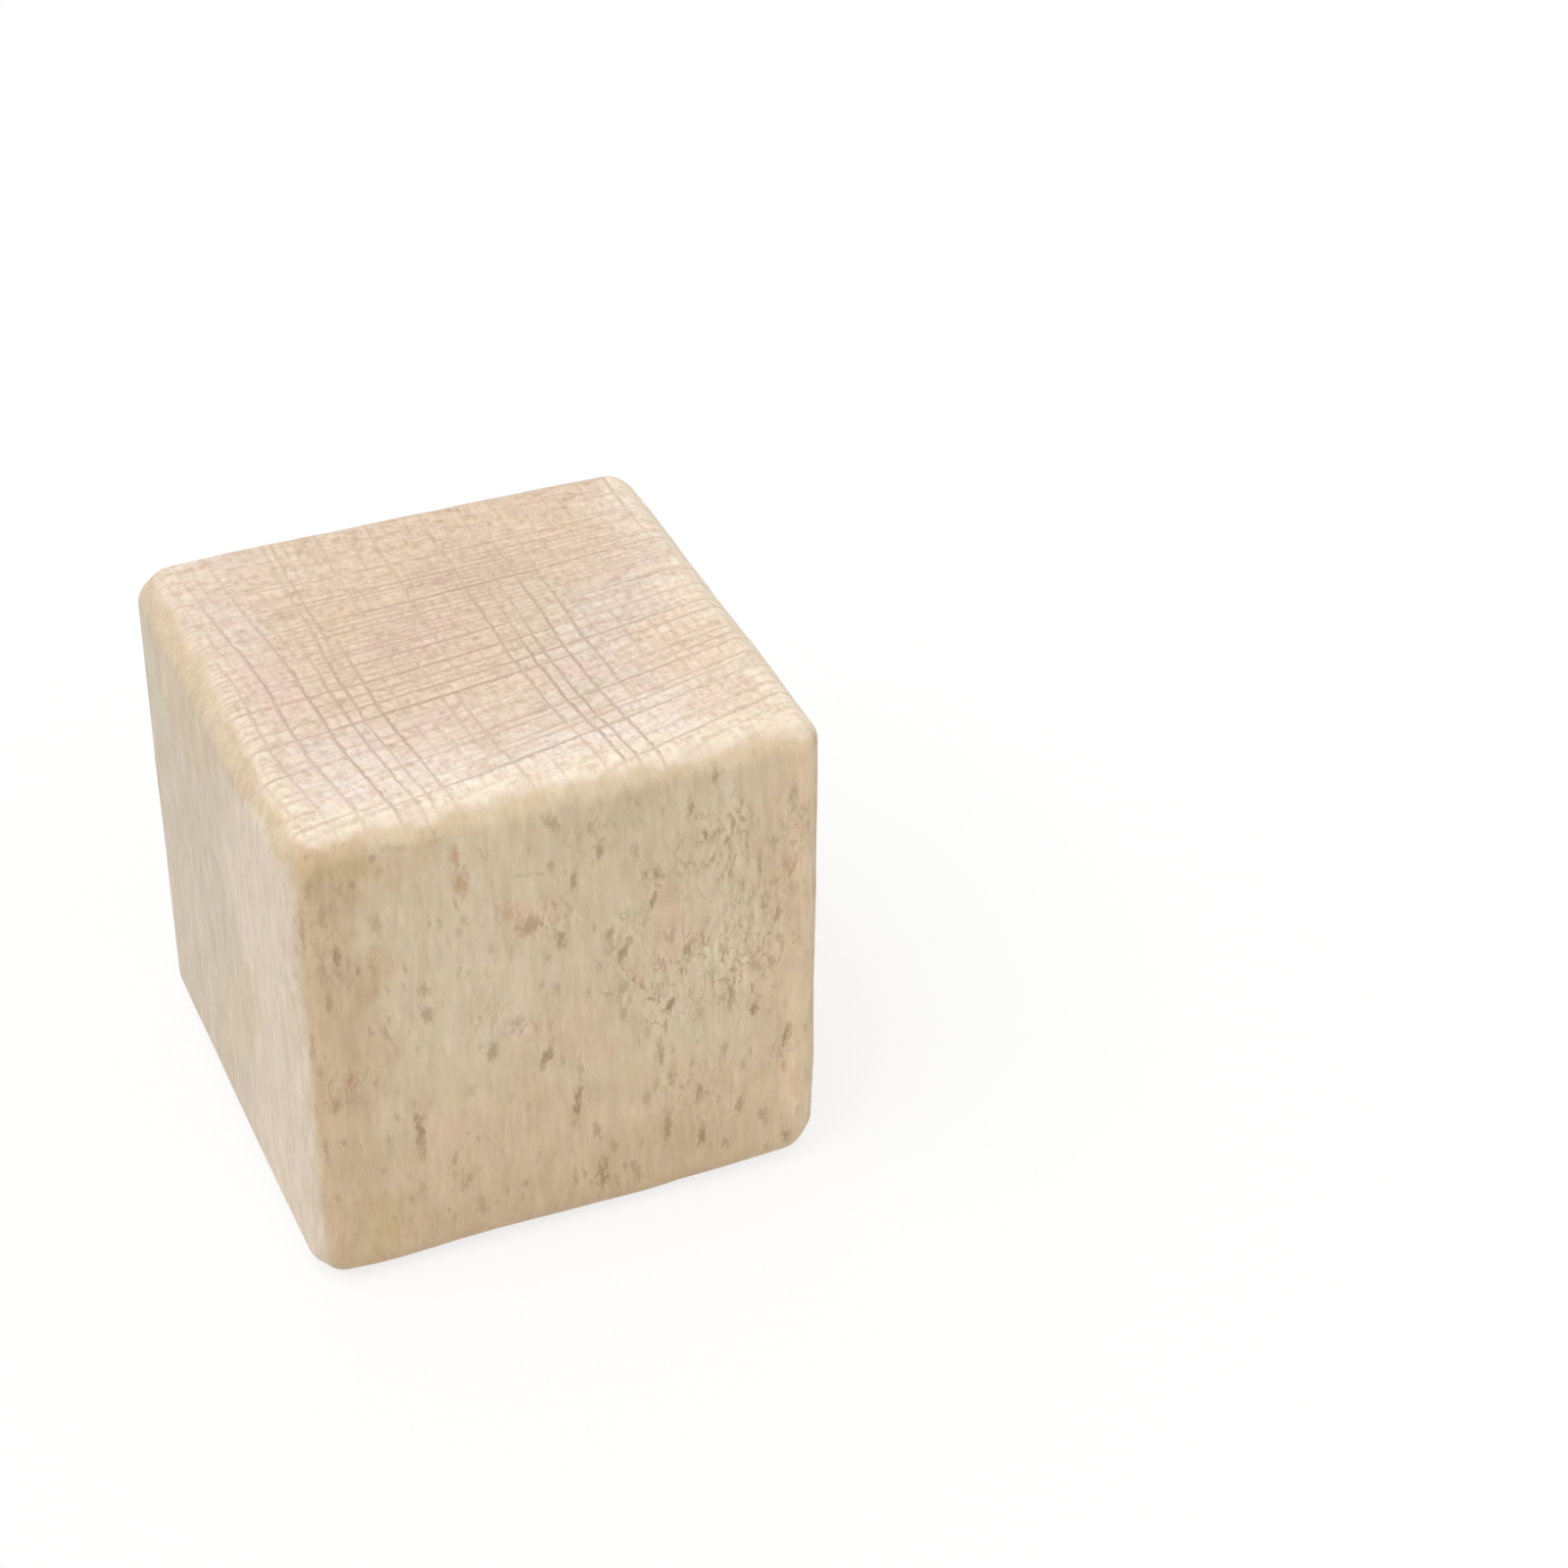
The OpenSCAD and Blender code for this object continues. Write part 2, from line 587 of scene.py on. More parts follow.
# middle (x, z), reach to both sides, lean in degrees, share, colour
front_patches = [
    ((-8, 26), (6, 11), 0, 0.9, fair), ((-5, 6), (14, 10), 0, 0.8, warm), ((13, 3), (9, 10), 0, 1.0, warm),
    ((0, -3), (60, 10), 0, 0.9, bark), ((12, 22), (5, 7), 0, 0.8, fair), ((2, 36), (4, 3), 0, 0.9, dim),
    ((7, 31), (2.5, 4), -10, 0.9, dim), ((12.5, 37), (5, 2), 0, 0.7, fair),
    ((-2.4, 29.4), (2.6, 2.2), 0, 0.8, blush), ((-2, 19.2), (3.4, 2.2), 10, 0.7, blush),
    ((1, 18), (1.6, 3), 0, 0.7, blush), ((7.4, 27.5), (1.6, 2.4), 0, 0.8, blush),
    ((9, 24.6), (1.4, 2.4), 0, 0.8, blush), ((4.9, 22.6), (1.6, 1.4), 0, 0.7, blush),
    ((14.2, 20.5), (2.4, 2), 0, 0.8, blush), ((16.6, 22.5), (2, 3), 0, 0.8, blush),
    ((16.9, 29), (1.6, 5), 0, 0.7, blush), ((-10, 37.5), (4.5, 1.8), 0, 0.9, warm),
    ((-7.5, 12.5), (3, 1.8), 0, 0.8, blush), ((9, 16), (4, 1.6), 0, 0.7, side_wood),
    ((17.8, 20), (3.6, 60), 0, 0.8, warm), ((-17.8, 20), (3.6, 60), 0, 1.0, bark),
    ((-14.9, 4.5), (2, 3.2), 10, 0.9, amber), ((-16.6, 37.6), (3.4, 1.1), 0, 1.0, amber),
    # the pale strip at x 19.2 is painted light on the rounded right edge, which turns away from the lamp
    ((19.2, 20), (2.0, 60), 0, 0.75, painted_edge_light), ((-14.3, 4.6), (0.9, 2.8), -6, 0.8, amber),
    ((-13.8, 7.6), (0.8, 1.3), 0, 0.5, blush),
]
back_patches = [
    ((9, 30), (8, 13), 8, 0.9, fair), ((-12, 12), (7, 15), -6, 0.8, warm), ((3, 5), (16, 5), 0, 0.7, dim),
    ((-4, 27), (3, 6), 5, 0.6, blush), ((17, 16), (4, 18), 0, 0.7, bark),
]
# middle (y, z), reach to both sides, lean in degrees, share, colour
right_patches = [
    ((-16, 22), (6, 40), 0, 0.8, warm), ((-2, 28), (3, 26), 2, 0.8, hay),
    ((5, 14), (2.5, 30), -2, 0.7, dim), ((12, 20), (4, 40), 0, 0.8, fair),
    ((18, 12), (4, 18), 0, 0.7, warm),
]
# on the left, the base grey is a painted cool cast of light, and the paler grey towards the front is a
# painted sheen
left_patches = [
    ((0, 20), (60, 60), 0, 1.0, grey), ((-16, 17), (12, 60), 0, 0.9, painted_sheen_grey),
    ((-9, 26), (5, 7), 0, 0.9, painted_sheen_grey), ((14, 33), (3, 3.5), 0, 0.6, moss),
    ((7, 24), (9, 5), 0, 0.8, grey), ((6, 35.5), (9, 4), 0, 0.6, wheat), ((8, 39), (10, 3), 0, 0.9, wheat),
    ((-3, 14), (2.6, 10), -42, 0.8, hay), ((-4, 39.8), (60, 1.8), 0, 0.9, wheat),
]
print("patches on front and back:", len(front_patches), len(back_patches))
print("patches on right and left:", len(right_patches), len(left_patches))

# %% Lay patches over each other
patch_core = 0.6
patch_end = 1.3


def lay(patches, base, first, second, wobble):
    """The colour of a point after all patches of one side are laid over its base."""
    colour = Vector(base[:3])
    for (middle_1, middle_2), (reach_1, reach_2), lean, share, paint_over in patches:
        ahead = first + wobble[0] - middle_1
        above = second + wobble[1] - middle_2
        turn = math.radians(lean)
        along = ahead * math.cos(turn) - above * math.sin(turn)
        up = ahead * math.sin(turn) + above * math.cos(turn)
        away = math.hypot(along / reach_1, up / reach_2)
        if away < patch_end:
            colour = colour.lerp(Vector(paint_over[:3]), share * (1 - rise(away, patch_core, patch_end)))
    return colour


middle_of_front = lay(front_patches, side_wood, 0, 20, (0, 0))
print("middle of the front, linear:", [round(part, 3) for part in middle_of_front])

# %% [markdown]
# ### Flecks one by one
#
# Beech is known by its rays. Where the saw runs along them, at the front and the back, they show as
# small dark flecks. The front is the face that people look at, and its flecks are few and large
# enough to be known one by one, so each is listed. The back gets its own from a seeded
# random draw.
#
# A node for each fleck would make a slow shader. Instead, each point of the net is told where it
# lies in the fleck nearest to it: how many half widths across and how many half heights up. Blender
# fills in between the points along straight lines, and this rule is a straight line too, so a fleck
# narrower than the steps of the net still comes out sharp. Only the points around a fleck are told
# how dark it is, and the others keep 0.

# %% Flecks of the front and the back
# x, z, half width, half height, lean in degrees, darkness; a darkness below 0 is a reddish fleck
front_flecks = [
    (-18.2, 36.6, 0.30, 0.90, 10, 0.40), (-17.6, 34.0, 0.26, 1.30, 4, 0.32),
    (-16.8, 30.0, 0.30, 1.60, -3, 0.64), (-17.6, 26.2, 0.28, 1.20, 0, 0.45),
    (-16.4, 19.0, 0.50, 0.90, 8, -0.60), (-17.7, 17.2, 0.28, 0.80, 0, 0.45),
    (-16.3, 35.6, 0.30, 0.60, -20, 0.32), (-14.3, 28.6, 0.35, 1.30, 0, 0.30),
    (-13.9, 32.2, 0.50, 1.10, -10, 0.35), (-13.6, 22.3, 0.24, 1.40, -22, 0.42),
    (-10.7, 25.4, 0.42, 1.00, 6, 0.45), (-10.6, 23.2, 0.55, 0.90, -6, 0.55),
    (-11.7, 12.6, 0.34, 2.80, -3, 0.72), (-11.8, 7.4, 0.40, 1.10, 0, 0.30),
    (-9.3, 9.4, 0.34, 0.90, 16, 0.45), (-8.4, 7.0, 0.40, 1.20, 14, 0.42),
    (-8.0, 36.3, 0.42, 1.30, -4, -0.85), (-7.9, 36.0, 0.30, 0.80, 0, 0.34),
    (-7.8, 15.2, 0.50, 0.80, 0, 0.30), (-7.4, 4.3, 0.42, 1.00, -20, 0.40),
    (-6.0, 18.5, 0.45, 1.10, 6, 0.50), (-4.3, 30.3, 0.95, 1.00, 10, -0.65),
    (-2.8, 28.8, 0.90, 1.05, 24, 0.62), (-3.2, 33.3, 0.75, 0.20, 12, 0.30),
    (-1.8, 33.0, 0.55, 0.22, 17, 0.34), (-1.1, 33.5, 0.32, 0.50, 0, 0.50),
    (-0.6, 26.9, 0.42, 1.10, -16, 0.65), (-1.0, 22.6, 0.35, 0.80, 0, 0.35),
    (-3.9, 20.5, 0.50, 0.60, 0, 0.45), (-1.9, 16.8, 0.42, 1.80, 24, 0.72),
    (-1.0, 37.2, 0.50, 1.10, -34, 0.50), (0.6, 31.8, 0.32, 1.10, 6, 0.65), (0.6, 14.6, 0.34, 0.80, 0, 0.45),
    (0.3, 11.6, 0.34, 2.40, 4, 0.70), (1.8, 8.4, 0.34, 1.10, -8, 0.50), (3.0, 6.6, 0.38, 0.80, -10, 0.42),
    (2.1, 4.0, 0.45, 1.90, 4, 0.72), (2.6, 34.0, 0.45, 0.90, 10, 0.65), (3.1, 26.3, 0.34, 0.60, 20, 0.60),
    (4.1, 24.4, 0.36, 1.30, 22, 0.72), (5.2, 33.0, 0.34, 0.90, 0, 0.42), (4.2, 21.2, 0.38, 0.70, 0, 0.50),
    (4.0, 18.8, 0.34, 0.70, 0, 0.40), (6.9, 30.6, 0.45, 0.60, -30, 0.55), (6.5, 28.2, 0.32, 0.95, 18, 0.75),
    (9.4, 35.6, 0.32, 1.10, 4, 0.65), (11.3, 37.9, 0.32, 0.90, 8, 0.60), (11.0, 32.6, 0.36, 0.80, 0, 0.45),
    (9.2, 23.3, 0.32, 0.80, 28, 0.75), (7.6, 18.4, 0.36, 0.75, 20, 0.80), (6.7, 20.2, 0.30, 0.60, 0, 0.45),
    (6.9, 14.2, 0.30, 1.60, -6, 0.58), (7.7, 11.8, 0.34, 1.10, -8, 0.60), (5.7, 10.3, 0.34, 0.80, 0, 0.40),
    (7.3, 6.8, 0.32, 1.60, 4, 0.60), (9.8, 9.4, 0.32, 1.00, 6, 0.68), (10.0, 5.2, 0.36, 1.10, 6, 0.68),
    (11.9, 12.9, 0.34, 0.80, 0, 0.50), (12.0, 3.8, 0.40, 0.70, 0, 0.40), (13.1, 7.2, 0.34, 1.00, 4, 0.70),
    (14.9, 5.6, 0.36, 0.80, -20, 0.50), (9.9, 16.8, 0.32, 0.80, 0, 0.42), (12.3, 17.0, 0.34, 0.80, 0, 0.50),
    (14.3, 16.2, 0.36, 1.10, 8, 0.72), (14.3, 20.2, 0.34, 0.80, 0, 0.45), (17.2, 34.6, 0.30, 0.90, 0, 0.60),
    (16.9, 28.6, 0.42, 0.80, 14, -0.70), (17.3, 26.2, 0.36, 0.70, -8, -0.55),
    (16.1, 24.3, 0.28, 0.90, 8, 0.65), (16.8, 12.6, 0.36, 1.20, 12, 0.80),
    (16.7, 9.9, 0.32, 0.80, 0, -0.60), (16.9, 2.9, 0.45, 0.80, 0, 0.65), (13.4, 11.0, 0.30, 0.70, 0, 0.40),
    (4.9, 3.2, 0.40, 0.90, 0, 0.40), (11.0, 19.9, 0.17, 1.70, -4, 0.60), (12.4, 17.9, 0.18, 1.20, -6, 0.70),
    (12.4, 29.0, 0.22, 0.90, 0, 0.50), (13.4, 27.7, 0.18, 0.80, 0, 0.55), (14.7, 28.8, 0.17, 1.20, 0, 0.55),
    (15.9, 27.3, 0.34, 0.45, 40, 0.50), (17.2, 28.0, 0.20, 0.90, 26, 0.60),
    (14.1, 18.0, 0.24, 0.60, 0, 0.60), (13.7, 31.2, 0.18, 0.60, 0, 0.45),
    (15.8, 31.0, 0.26, 0.50, -20, 0.50), (7.3, 16.7, 0.20, 0.80, 0, 0.45),
    (13.3, 21.3, 1.10, 0.17, 0, 0.36), (2.3, 23.6, 0.26, 0.60, 0, 0.36), (-1.6, 25.6, 0.30, 0.50, 0, 0.34),
    (1.4, 21.6, 0.22, 0.50, 0, 0.34), (-7.6, 33.9, 0.60, 1.50, -4, -0.85),
    (-7.7, 34.0, 0.40, 0.90, 10, 0.38), (-13.8, 37.7, 0.30, 0.40, 30, 0.50),
    (-12.4, 38.2, 1.30, 0.34, 14, 0.26), (-9.4, 37.9, 1.10, 0.34, -4, -0.34),
    (-15.3, 35.9, 0.34, 0.30, 0, 0.36), (-18.9, 32.6, 0.16, 2.20, 1, 0.42),
    (-18.9, 22.4, 0.16, 1.80, 2, 0.45), (-18.6, 13.2, 0.16, 1.60, 0, 0.42),
    (-14.6, 10.0, 0.30, 0.40, 0, -0.60), (10.6, 25.2, 0.22, 0.60, 0, 0.36),
    (-5.7, 27.6, 0.26, 0.80, 0, 0.30), (-7.6, 30.6, 0.30, 0.60, 0, 0.30),
]
back_count = 90
draw = random.Random(12)
back_flecks = [
    (draw.uniform(-17, 17), draw.uniform(3, 37), draw.uniform(0.25, 0.45), draw.uniform(0.6, 1.7),
     draw.uniform(-12, 20), draw.uniform(0.3, 0.75) * draw.choice((1, 1, 1, 1, -1)))
    for _ in range(back_count)
]
print("flecks:", len(front_flecks), "and", len(back_flecks))

# %% [markdown]
# Two flecks that lie close together would share points of the net, and the rule can only name one
# of them. So the flecks are dealt out over a few layers, each fleck to the first layer in which it
# keeps clear of all the others, as a printer does with plates.

# %% Deal the flecks over layers
net_step = 2 * (half.x - edge_radius) / steps_flat / MM
soft_reach = 1.35
clear_steps = 5


def clear_of(first, second):
    """Whether two flecks leave enough steps of the net between them."""
    wide = soft_reach * (first[2] + second[2]) + clear_steps * net_step
    tall = soft_reach * (first[3] + second[3]) + clear_steps * net_step
    return abs(first[0] - second[0]) > wide or abs(first[1] - second[1]) > tall


def deal(flecks):
    """The flecks in as few layers as this simple rule finds."""
    layers = []
    for fleck in flecks:
        for layer in layers:
            if all(clear_of(fleck, other) for other in layer):
                layer.append(fleck)
                break
        else:
            layers.append([fleck])
    return layers


front_layers = deal(front_flecks)
back_layers = deal(back_flecks)
layer_count = max(len(front_layers), len(back_layers))
print("layers:", [len(layer) for layer in front_layers], [len(layer) for layer in back_layers])

# %% Where a point lies in a fleck
told_steps = 3
dark_steps = 1.6


def place_in_fleck(flecks, x, z):
    """Where a point lies in the fleck around it, and how dark that fleck is."""
    for spot_x, spot_z, width, height, lean, depth in flecks:
        beside = abs(x - spot_x) - soft_reach * width
        above = abs(z - spot_z) - soft_reach * height
        outside = max(beside, above)
        if outside < told_steps * net_step:
            turn = math.radians(lean)
            across = (x - spot_x) * math.cos(turn) - (z - spot_z) * math.sin(turn)
            up = (x - spot_x) * math.sin(turn) + (z - spot_z) * math.cos(turn)
            return across / width, up / height, depth if outside < dark_steps * net_step else 0.0
    return 0.0, 0.0, 0.0


print("net steps in mm:", round(net_step, 2))

# %% [markdown]
# ### Worn edges
#
# End grain and side grain are one wood cut two ways, and where an edge turns the one goes over into
# the other. On a machined edge that would be a clean line. On a sanded one it wanders by a mm, and
# the end grain reaches further down on the right edge than on the left. Sanding leaves the rim of
# the end grain pale and creamy, and the same rim is painted lighter still as a painted highlight,
# most of all at the front. Sanding also blurs the lines that run over the edge.

# %% Where the end grain stops
end_from = 0.60
end_to = 0.94
more_end_at_right = 0.50
less_end_at_left = 0.27


def wobble_at(place):
    """Two random shifts in mm, so that no patch ends along a clean curve."""
    return [
        sway(place, 5.0, 2.4, seed=(seed, 0, 0)) + sway(place, 1.5, 1.2, seed=(seed, 4, 0))
        for seed in (11, 23)
    ]


def end_share_at(place, face_x, face_z):
    """How much end grain shows: 1 on the top and the bottom, 0 on the sides."""
    border = sway(place, 3.2, 0.15, seed=(0, 0, 7)) + sway(place, 1.1, 0.17)
    sideways = (more_end_at_right if face_x > 0 else less_end_at_left) * face_x
    return rise(abs(face_z) + border + sideways, end_from, end_to)


print("end grain on the top, an edge, a side:",
      [round(end_share_at(Vector((0, 0, 40)), 0, up), 2) for up in (1, 0.7, 0)])

# %% The pale rim, with a painted highlight
# the cream is partly pale sanded wood and partly a painted highlight on the rounded rim
cream_and_highlight = Vector(paint(245, 227, 203)[:3])
rim_from = 16.0
rim_to = 17.6
rim_least = 0.38
more_in_front = 0.40
front_band = (5, 17)
more_at_right = 0.40
right_band = (16.5, 19)
rubbed = 0.3
rubbed_band = (0.30, 0.60)
spared_band = (0.90, 0.995)


def rim_share_at(x, y, wobble):
    """How creamy the end grain is, pale sanded wood with a painted highlight: 0 inside, more at the left,
    most at the front and the right.
    """
    rim = rise(max(abs(x), -y) + 0.5 * wobble[0], rim_from, rim_to)
    return rim * (rim_least + more_in_front * rise(-y, *front_band) + more_at_right * rise(x, *right_band))


def lines_left_at(face_z):
    """How much of the lines the sanding left: all on the flat, less where the edge turns."""
    upwards = abs(face_z)
    return 1 - rubbed * rise(upwards, *rubbed_band) * (1 - rise(upwards, *spared_band))


print("lines left on an edge:", round(lines_left_at(0.7), 2))

# %% [markdown]
# ### Crinkled places
#
# Where the fibres of the front leave the surface at a slant, the planer lifts them, and the wood
# looks crinkled, like skin. A mask of noise would put that anywhere. It sits in a few places, mostly
# right of the middle, so these are written down, and each point of the net gets their share.

# %% Crinkled places
crinkle_core = 0.2
crinkle_end = 1.5
# middle x, z, reach x, z, share
crinkled_spots = [
    (6.8, 30.4, 1.6, 1.8, 1.0), (11.5, 31.5, 3.5, 4.0, 0.8), (17.0, 31.5, 1.6, 4.0, 0.7),
    (9.5, 23.0, 3.0, 2.5, 0.9), (4.2, 24.6, 2.0, 2.4, 0.9), (6.5, 19.5, 3.5, 3.0, 1.0),
    (12.5, 21.0, 4.5, 4.5, 0.9), (16.6, 12.5, 1.6, 2.4, 0.5), (14.5, 26.0, 3.0, 2.5, 0.7),
    (-1.5, 28.5, 3.0, 2.5, 0.6), (-16.8, 32.0, 1.6, 4.0, 0.4), (2.5, 35.5, 3.0, 2.0, 0.6),
    (-3.5, 20.5, 3.0, 1.6, 0.6), (9.5, 8.5, 4.0, 3.5, 0.4), (-16.5, 18.5, 1.6, 2.0, 0.7),
    (-8.5, 8.5, 2.0, 2.5, 0.15),
]


def crinkle_at(x, z, wobble):
    """How crinkled the front is at a point, 0 to 1."""
    crinkle = 0.0
    for middle_x, middle_z, reach_x, reach_z, share in crinkled_spots:
        away = math.hypot((x + wobble[0] - middle_x) / reach_x, (z + wobble[1] - middle_z) / reach_z)
        crinkle = max(crinkle, share * (1 - rise(away, crinkle_core, crinkle_end)))
    return crinkle


print("crinkle in the middle of the front:", round(crinkle_at(0, 20, (0, 0)), 2))

# %% [markdown]
# ### Paint the points of the net
#
# Blender keeps such values as attributes of the mesh. Here `tone` holds the colour and the share of
# end grain, `log_place` the ring, the ray and the height, and `drawn` how dark the ring and the ray
# are and how crinkled the wood is. Each layer of flecks has one more. All are made before any is
# filled, because a new attribute can move the others in memory.

# %% Attributes of the net
fleck_names = ["in_fleck_" + str(layer) for layer in range(layer_count)]
block_mesh.color_attributes.new("tone", "FLOAT_COLOR", "POINT")
for name in ["log_place", "drawn"] + fleck_names:
    block_mesh.attributes.new(name, "FLOAT_VECTOR", "POINT")
tone = block_mesh.color_attributes["tone"]
log_place = block_mesh.attributes["log_place"]
drawn = block_mesh.attributes["drawn"]
in_fleck = [block_mesh.attributes[name] for name in fleck_names]
print("attributes for flecks:", fleck_names)

# %% Fill the attributes
left_edge_rays = 0.28
left_edge_band = (16.5, 18)
corner_band = (0.25, 0.65)
never_zero = 0.0001


def colour_at(x, y, z, ray, face, wobble, end_share):
    """The slow colour of the wood at a point: its side's patches, and the end grain over them."""
    top_patches = end_patches if z > centre.z / MM else []
    end_tone = lay(top_patches, end_wood, x, ray, wobble) if end_share > 0 else Vector(end_wood[:3])
    front_or_back = lay(front_patches if y < 0 else back_patches, side_wood, x, z, wobble)
    left_or_right = lay(left_patches if x < 0 else right_patches, side_wood, y, z, wobble)
    sideways = face.x * face.x / max(face.x * face.x + face.y * face.y, never_zero)
    side_tone = front_or_back.lerp(left_or_right, rise(sideways, *corner_band))
    # the rim's cream over the end grain is partly a painted highlight
    return side_tone.lerp(end_tone.lerp(cream_and_highlight, rim_share_at(x, y, wobble)), end_share)


for number, vertex in enumerate(block_mesh.vertices):
    x, y, z = vertex.co / MM
    place = Vector((x, y, z))
    face = facing[number]
    ring, ray = place_in_log(x, y, z)
    wobble = wobble_at(place)
    end_share = end_share_at(place, face.x, face.z)
    tone.data[number].color = (*colour_at(x, y, z, ray, face, wobble, end_share), end_share)
    log_place.data[number].vector = (ring, ray, z)

    lines_left = lines_left_at(face.z)
    at_left_edge = left_edge_rays * rise(-x, *left_edge_band)
    drawn.data[number].vector = (
        lines_left * darkness_of(ring_lines, ring_span, ring, y),
        lines_left * (darkness_of(ray_lines, ray_span, ray, x) + at_left_edge),
        crinkle_at(x, z, wobble) if face.y < -0.5 else 0.0,
    )
    if abs(face.y) > 0.5:
        for layer, flecks in zip(in_fleck, front_layers if y < 0 else back_layers):
            layer.data[number].vector = place_in_fleck(flecks, x, z)
print("points painted:", len(tone.data))

# %% [markdown]
# ## The shader: thin lines and fine texture
#
# The shader reads the slow work off the net and adds what is finer than its steps. These helpers
# are the few nodes that it needs again and again. Noise is always stretched to the wood and never
# to the view, so it turns with the block and looks the same from all sides.

# %% Helpers for the wood
wood_material = bpy.data.materials.new("beech")
wood = Shader(wood_material)


def vectors(operation, first, second, third=None):
    """Vector Math on colours and vectors, where a Math node would leave only grey."""
    sockets = {0: first, 1: second}
    if third is not None:
        sockets[2] = third
    return wood.add("ShaderNodeVectorMath", {"operation": operation}, sockets)


def part_of(vector, axis):
    """One of the three numbers of a vector or a colour."""
    return wood.add("ShaderNodeSeparateXYZ", {}, {"Vector": vector}, axis)


def grain_noise(vector, stretch, detail=1.0, roughness=0.5, seed=0.0, output=0):
    """Smooth random values, 0 to 1, with so many changes to the mm along x, y and z."""
    return wood.add("ShaderNodeTexNoise", {}, {
        "Vector": vectors("MULTIPLY_ADD", vector, stretch, (seed, seed, seed)),
        "Scale": 1.0, "Detail": detail, "Roughness": roughness,
    }, output)


def fade(value, start, end):
    """0 up to start, 1 from end on, and smooth between them."""
    return wood.add("ShaderNodeMapRange", {"interpolation_type": "SMOOTHSTEP"}, {
        "Value": value, "From Min": start, "From Max": end,
    })


def blend(share, first, second):
    """Mixes two colours: all first at 0, all second at 1."""
    return wood.add("ShaderNodeMix", {"data_type": "RGBA"}, {0: share, 6: first, 7: second}, 2)


def painted(name):
    """What the points of the net were told under a name."""
    kept_by = {"attribute_type": "GEOMETRY", "attribute_name": name}
    return wood.add("ShaderNodeAttribute", kept_by, output="Vector")


def stained(colour, change, strength):
    """The colour made lighter or darker; blue changes most, as in wood, where dark means brown."""
    return vectors("MULTIPLY", colour, vectors("MULTIPLY_ADD", change, strength, (1.0, 1.0, 1.0)))


print("wood shader starts with nodes:", len(wood.tree.nodes))

# %% What the shader knows at a point
side_band = (0.3, 0.9)
flat_band = (0.80, 0.98)

object_place = wood.add("ShaderNodeTexCoord", output="Object")
here = vectors("MULTIPLY", object_place, (1 / MM, 1 / MM, 1 / MM))
facing_here = object_place.other("Normal")
facing_right = part_of(facing_here, "X")
facing_up = part_of(facing_here, "Z")
right_side = fade(facing_right, *side_band)
left_side = fade(0 - facing_right, *side_band)
flat_end = fade(abs(facing_up), *flat_band)

in_log = painted("log_place")
ring_place = part_of(in_log, "X")
ray_place = part_of(in_log, "Y")
on_net = painted("drawn")
ring_darkness = part_of(on_net, "X")
ray_darkness = part_of(on_net, "Y")
crinkle_part = part_of(on_net, "Z")
tone_here = painted("tone")
end_part = tone_here.other("Alpha")
print("attributes on the net:", len(block_mesh.attributes))

# %% [markdown]
# ### Tint
#
# Between the patches the wood still drifts a little between rosy and yellow, over one or two mm. A
# noise texture has a Color output, which is three noises in one. Multiplied onto the painted tone,
# it moves red, green and blue each on its own.

# %% Tint
tint_least = (0.95, 0.955, 0.92)
tint_depth = (0.10, 0.09, 0.16)

tint = grain_noise(here, (0.5, 0.5, 0.35), 2.0, 0.8, seed=71.0, output="Color")
slow_colour = vectors("MULTIPLY", tone_here, vectors("MULTIPLY_ADD", tint, tint_depth, tint_least))
print("tint, at least and at most:", tint_least, [round(a + b, 3) for a, b in zip(tint_least, tint_depth)])

# %% [markdown]
# ### Rings and rays
#
# A colour ramp turns a place in the log into a line: it is white at the line and black on both
# sides. Each line takes three stops, and a ramp holds 32, so ten lines go into each. A Wave texture
# would be one node, but its lines are all the same distance apart. A fine speckle pushes the lines
# to and fro by a fifth of a mm, since they are rows of cells and not strokes of a pen.

# %% Lines of the end grain
lines_a_ramp = 10
ramp_margin = 1.0
ring_half_width = 0.23
ray_half_width = 0.25
jog_reach = 0.45


def thin_lines(place, lines, half_width):
    """1 on each line of a list and 0 between them, with soft sides."""
    spots = sorted(line[0] for line in lines)
    drawing = None
    for first in range(0, len(spots), lines_a_ramp):
        group = spots[first:first + lines_a_ramp]
        start = group[0] - ramp_margin
        length = group[-1] + ramp_margin - start
        width = half_width / length
        stops = []
        for spot in group:
            middle = (spot - start) / length
            stops += [(middle - width, 0.0), (middle, 1.0), (middle + width, 0.0)]
        ramp = wood.add("ShaderNodeValToRGB", {"stops": stops}, {0: (place - start) / length})
        drawing = ramp if drawing is None else drawing.at_least(ramp)
    return drawing


speckle = grain_noise(here, (2.0, 1.8, 0.7), 2.6, 0.65, seed=2.0)
jog = (speckle - 0.5) * jog_reach
rings = thin_lines(ring_place + jog, ring_lines, ring_half_width) * ring_darkness
rays = thin_lines(ray_place - jog, ray_lines, ray_half_width) * ray_darkness
print("line widths in mm:", 2 * ring_half_width, 2 * ray_half_width)

# %% [markdown]
# ### End grain
#
# The saw cut the fibres across, so the top is a field of cut tubes, finely speckled. Between the
# drawn lines run many more, too fine to count, and together they look woven. Two noises make these
# threads, one drawn out along the rings and one along the rays. The drawn lines are broken by the
# same threads, so that each line comes and goes with the wood around it.

# %% End grain colour
thread_depth = 0.88
ring_thread_share = 0.7
speckle_depth = 0.64
edge_fineness = 0.5
light_cut = 0.3
fine_lift = 0.012
ray_strength = 0.90
break_by_rings = 2.0
break_by_rays = 2.6
break_floor = 1.28
end_change = (0.85, 1.04, 1.26)
line_stain = (0.60, 0.55, 0.52)

ray_threads = grain_noise(in_log, (0.48, 1.15, 0.3), 1.8, 0.80, seed=27.0)
ring_threads = grain_noise(in_log, (2.10, 0.70, 0.3), 1.8, 0.75, seed=17.0)

